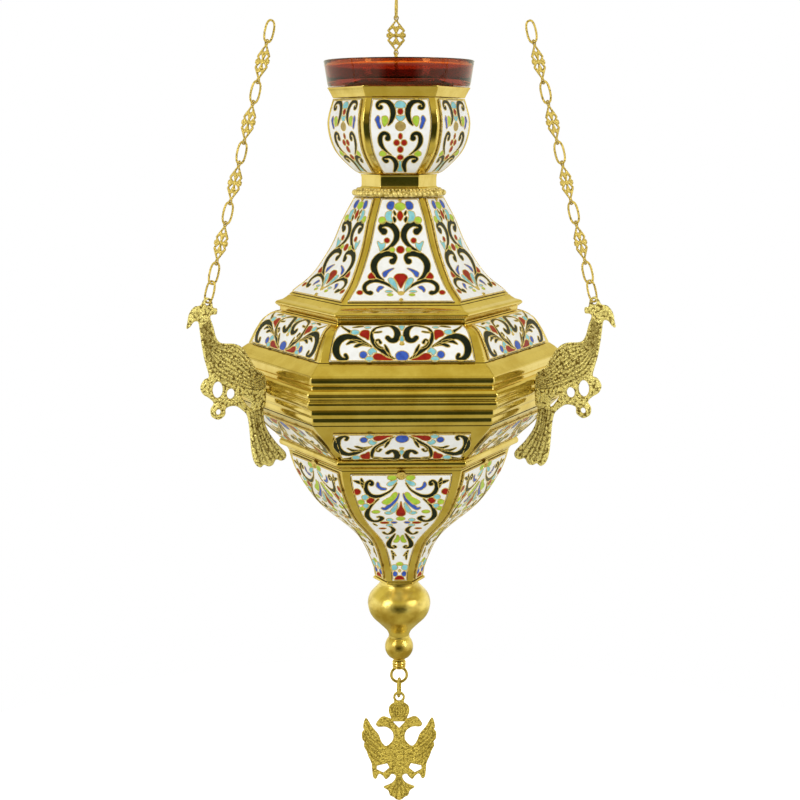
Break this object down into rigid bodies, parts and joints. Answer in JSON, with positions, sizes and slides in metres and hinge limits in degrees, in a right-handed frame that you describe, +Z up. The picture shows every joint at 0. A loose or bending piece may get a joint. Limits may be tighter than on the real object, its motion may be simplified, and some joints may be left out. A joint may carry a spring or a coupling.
{
  "type": "hanging vigil lamp",
  "caption": "Six-sided enamelled brass vigil lamp with a ruby glass oil cup, peacock brackets, pierced link chains and an eagle pendant.",
  "frame": {"origin": "on the lamp's axis, level with the top of the two front chains, where the chains go on up to what holds the lamp", "axes": "+Z up, -Y towards the flat face between the two front chains, +X to its right"},
  "size_m": [0.2394, 0.227, 0.5063],
  "materials": {
    "polished_brass": "polished",
    "satin_brass": "satin",
    "cast_brass": "cast, fine grained",
    "chain_brass": "satin",
    "white_enamel": "fired gloss enamel",
    "ruby_glass": "clear ruby"
  },
  "bodies": {
    "lamp": {"cup_collar": "polished_brass", "cup_frame": "polished_brass", "cup_enamel": "white_enamel", "neck": "polished_brass", "rope_ring": "satin_brass", "bell_frame": "polished_brass", "bell_enamel": "white_enamel", "cornice": "polished_brass", "dome_frame": "polished_brass", "dome_enamel": "white_enamel", "mid_band": "polished_brass", "frieze_frame": "polished_brass", "frieze_enamel": "white_enamel", "lower_trim": "polished_brass", "cone_frame": "polished_brass", "cone_enamel": "white_enamel", "finial": "polished_brass", "finial_eye": "polished_brass", "tie_rod": "satin_brass", "peacock_left": "cast_brass", "peacock_right": "cast_brass", "peacock_rear": "cast_brass"},
    "glass": {"glass_cup": "ruby_glass"},
    "pendant_link": {"pendant_link": "cast_brass"},
    "pendant_eagle": {"pendant_eagle": "cast_brass"},
    "chain_left_1": {"chain_left_oval_0": "chain_brass"},
    "chain_left_2": {"chain_left_oval_1": "chain_brass", "chain_left_cross_1": "chain_brass"},
    "chain_left_3": {"chain_left_oval_2": "chain_brass", "chain_left_cross_2": "chain_brass"},
    "chain_left_4": {"chain_left_oval_3": "chain_brass", "chain_left_cross_3": "chain_brass"},
    "chain_left_5": {"chain_left_oval_4": "chain_brass", "chain_left_cross_4": "chain_brass", "chain_left_oval_5": "chain_brass"},
    "chain_right_1": {"chain_right_oval_0": "chain_brass"},
    "chain_right_2": {"chain_right_oval_1": "chain_brass", "chain_right_cross_1": "chain_brass"},
    "chain_right_3": {"chain_right_oval_2": "chain_brass", "chain_right_cross_2": "chain_brass"},
    "chain_right_4": {"chain_right_oval_3": "chain_brass", "chain_right_cross_3": "chain_brass"},
    "chain_right_5": {"chain_right_oval_4": "chain_brass", "chain_right_cross_4": "chain_brass", "chain_right_oval_5": "chain_brass"},
    "chain_rear_1": {"chain_rear_oval_1": "chain_brass", "chain_rear_cross_1": "chain_brass"},
    "chain_rear_2": {"chain_rear_oval_2": "chain_brass", "chain_rear_cross_2": "chain_brass"},
    "chain_rear_3": {"chain_rear_oval_3": "chain_brass", "chain_rear_cross_3": "chain_brass"},
    "chain_rear_4": {"chain_rear_oval_4": "chain_brass", "chain_rear_cross_4": "chain_brass"},
    "chain_rear_5": {"chain_rear_oval_5": "chain_brass", "chain_rear_cross_5": "chain_brass", "chain_rear_oval_6": "chain_brass"}
  },
  "joints": [
    {"name": "glass_lift", "type": "slide", "parent": "lamp", "child": "glass", "axis": [0, 0, 1], "range_m": [0, 0.06]},
    {"name": "pendant_swing", "type": "hinge", "parent": "lamp", "child": "pendant_link", "pos_m": [0, 0, -0.40321], "axis": [1, 0, 0], "range_deg": [-30, 30]},
    {"name": "eagle_swing", "type": "hinge", "parent": "pendant_link", "child": "pendant_eagle", "pos_m": [0, 0, -0.41261], "axis": [0, 1, 0], "range_deg": [-30, 30]},
    {"name": "left_chain_fold_1", "type": "hinge", "parent": "lamp", "child": "chain_left_1", "pos_m": [-0.10784, -0.06226, -0.15416], "axis": [0.5, -0.866, 0], "range_deg": [0, 20]},
    {"name": "left_chain_fold_2", "type": "hinge", "parent": "chain_left_1", "child": "chain_left_2", "pos_m": [-0.10521, -0.06074, -0.14319], "axis": [0.5, -0.866, 0], "range_deg": [0, 20]},
    {"name": "left_chain_fold_3", "type": "hinge", "parent": "chain_left_2", "child": "chain_left_3", "pos_m": [-0.09748, -0.05628, -0.11103], "axis": [0.5, -0.866, 0], "range_deg": [0, 9]},
    {"name": "left_chain_fold_4", "type": "hinge", "parent": "chain_left_3", "child": "chain_left_4", "pos_m": [-0.08958, -0.05172, -0.07813], "axis": [0.5, -0.866, 0], "range_deg": [0, 9]},
    {"name": "left_chain_fold_5", "type": "hinge", "parent": "chain_left_4", "child": "chain_left_5", "pos_m": [-0.08167, -0.04715, -0.04522], "axis": [0.5, -0.866, 0], "range_deg": [0, 9]},
    {"name": "right_chain_fold_1", "type": "hinge", "parent": "lamp", "child": "chain_right_1", "pos_m": [0.10784, -0.06226, -0.15416], "axis": [0.5, 0.866, 0], "range_deg": [0, 20]},
    {"name": "right_chain_fold_2", "type": "hinge", "parent": "chain_right_1", "child": "chain_right_2", "pos_m": [0.10521, -0.06074, -0.14319], "axis": [0.5, 0.866, 0], "range_deg": [0, 20]},
    {"name": "right_chain_fold_3", "type": "hinge", "parent": "chain_right_2", "child": "chain_right_3", "pos_m": [0.09748, -0.05628, -0.11103], "axis": [0.5, 0.866, 0], "range_deg": [0, 9]},
    {"name": "right_chain_fold_4", "type": "hinge", "parent": "chain_right_3", "child": "chain_right_4", "pos_m": [0.08958, -0.05172, -0.07813], "axis": [0.5, 0.866, 0], "range_deg": [0, 9]},
    {"name": "right_chain_fold_5", "type": "hinge", "parent": "chain_right_4", "child": "chain_right_5", "pos_m": [0.08167, -0.04715, -0.04522], "axis": [0.5, 0.866, 0], "range_deg": [0, 9]},
    {"name": "rear_chain_fold_1", "type": "hinge", "parent": "lamp", "child": "chain_rear_1", "pos_m": [0, 0.12452, -0.15416], "axis": [-1, 0, 0], "range_deg": [0, 20]},
    {"name": "rear_chain_fold_2", "type": "hinge", "parent": "chain_rear_1", "child": "chain_rear_2", "pos_m": [0, 0.11539, -0.12125], "axis": [-1, 0, 0], "range_deg": [0, 20]},
    {"name": "rear_chain_fold_3", "type": "hinge", "parent": "chain_rear_2", "child": "chain_rear_3", "pos_m": [0, 0.10627, -0.08834], "axis": [-1, 0, 0], "range_deg": [0, 7]},
    {"name": "rear_chain_fold_4", "type": "hinge", "parent": "chain_rear_3", "child": "chain_rear_4", "pos_m": [0, 0.09714, -0.05543], "axis": [-1, 0, 0], "range_deg": [0, 7]},
    {"name": "rear_chain_fold_5", "type": "hinge", "parent": "chain_rear_4", "child": "chain_rear_5", "pos_m": [0, 0.08801, -0.02252], "axis": [-1, 0, 0], "range_deg": [0, 7]}
  ]
}
